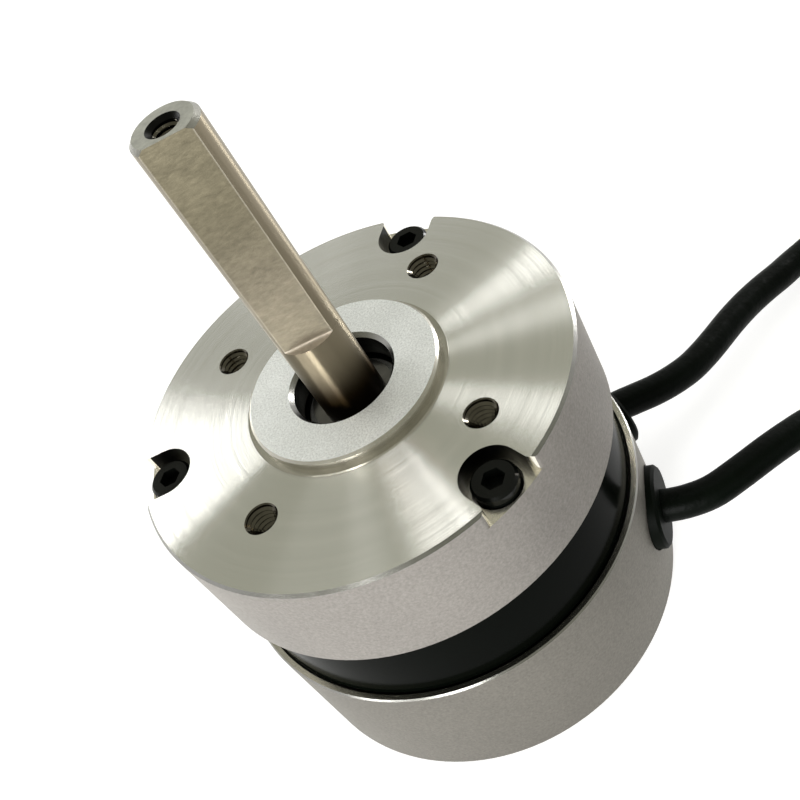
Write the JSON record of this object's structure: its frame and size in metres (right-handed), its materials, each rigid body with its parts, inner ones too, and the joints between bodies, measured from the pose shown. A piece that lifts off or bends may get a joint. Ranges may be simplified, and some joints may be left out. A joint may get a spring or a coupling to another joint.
{
  "type": "axial flux motor",
  "caption": "Short round brushless axial flux motor with a D-cut shaft, centring boss, tapped mounting face, black stator ring between two caps, and two side cables with plugs.",
  "frame": {"origin": "on the shaft's axis in the plane of the base that the motor stands on", "axes": "+Z along the shaft, from the base towards the shaft's free end; +X roughly midway between two of the case screws' and mounting holes' directions, as the picture shows them"},
  "size_m": [0.1177, 0.1258, 0.0864],
  "materials": {
    "blasted_aluminium": "bead-blasted sides, lathe-turned mounting face",
    "black_ring": "satin black anodised",
    "board_green": "solder mask",
    "laminate": "glass-fibre laminate",
    "core_iron": "pressed iron powder",
    "natural_plastic": "natural nylon",
    "copper": "enamelled copper",
    "sensor_body": "moulded",
    "zinc_steel": "zinc plated",
    "black_oxide": "black oxide",
    "spring_steel": "spring steel",
    "bearing_steel": "ground",
    "shield_steel": "pressed",
    "cage_brass": "machined",
    "black_rubber": "moulded",
    "black_sheath": "matt sheath",
    "tie_plastic": "smooth",
    "contact_brass": "plated",
    "shaft_steel": "satin, ground",
    "turned_aluminium": "turned",
    "disc_steel": "turned",
    "magnet_nickel": "nickel plated",
    "ring_magnet": "moulded magnet"
  },
  "bodies": {
    "housing": {"front_cap": "blasted_aluminium", "rear_cap": "blasted_aluminium", "stator_ring": "black_ring", "front_cover": "laminate", "rear_cover": "laminate", "stator_cores": "core_iron", "bobbins": "natural_plastic", "windings": "copper", "phase_wires": "copper", "sensor_board": "board_green", "hall_sensors": "sensor_body", "board_screws": "zinc_steel", "case_screws": "black_oxide", "wave_washer": "spring_steel", "front_bearing_outer": "bearing_steel", "front_bearing_shields": "shield_steel", "rear_bearing_outer": "bearing_steel", "rear_bearing_shields": "shield_steel", "power_grommet": "black_rubber", "sensor_grommet": "black_rubber", "power_leads": "copper", "sensor_leads": "copper", "power_cable": "black_sheath", "power_coil": "black_sheath", "power_tail": "black_sheath", "power_tie": "tie_plastic", "power_plug": "natural_plastic", "power_contacts": "contact_brass", "sensor_cable": "black_sheath", "sensor_coil": "black_sheath", "sensor_tail": "black_sheath", "sensor_tie": "tie_plastic", "sensor_plug": "natural_plastic", "sensor_contacts": "contact_brass"},
    "rotor": {"shaft": "shaft_steel", "rotor_key": "spring_steel", "rotor_spacer": "turned_aluminium", "front_disc": "disc_steel", "rear_disc": "disc_steel", "front_magnets": "magnet_nickel", "rear_magnets": "magnet_nickel", "rotor_screws": "zinc_steel", "sensor_ring": "ring_magnet", "front_circlip": "spring_steel", "rear_circlip": "spring_steel", "front_bearing_inner": "bearing_steel", "rear_bearing_inner": "bearing_steel"},
    "front_cage": {"front_bearing_balls": "bearing_steel", "front_bearing_cage": "cage_brass"},
    "rear_cage": {"rear_bearing_balls": "bearing_steel", "rear_bearing_cage": "cage_brass"}
  },
  "joints": [
    {"name": "spin", "type": "hinge", "parent": "housing", "child": "rotor", "pos_m": [0, 0, 0], "axis": [0, 0, 1], "continuous": true},
    {"name": "front_cage_spin", "type": "hinge", "parent": "housing", "child": "front_cage", "pos_m": [0, 0, 0], "axis": [0, 0, 1], "continuous": true},
    {"name": "rear_cage_spin", "type": "hinge", "parent": "housing", "child": "rear_cage", "pos_m": [0, 0, 0], "axis": [0, 0, 1], "continuous": true}
  ],
  "couplings": [
    {"joint": "front_cage_spin", "follows": "spin", "ratio": 0.3677},
    {"joint": "rear_cage_spin", "follows": "spin", "ratio": 0.3677}
  ]
}
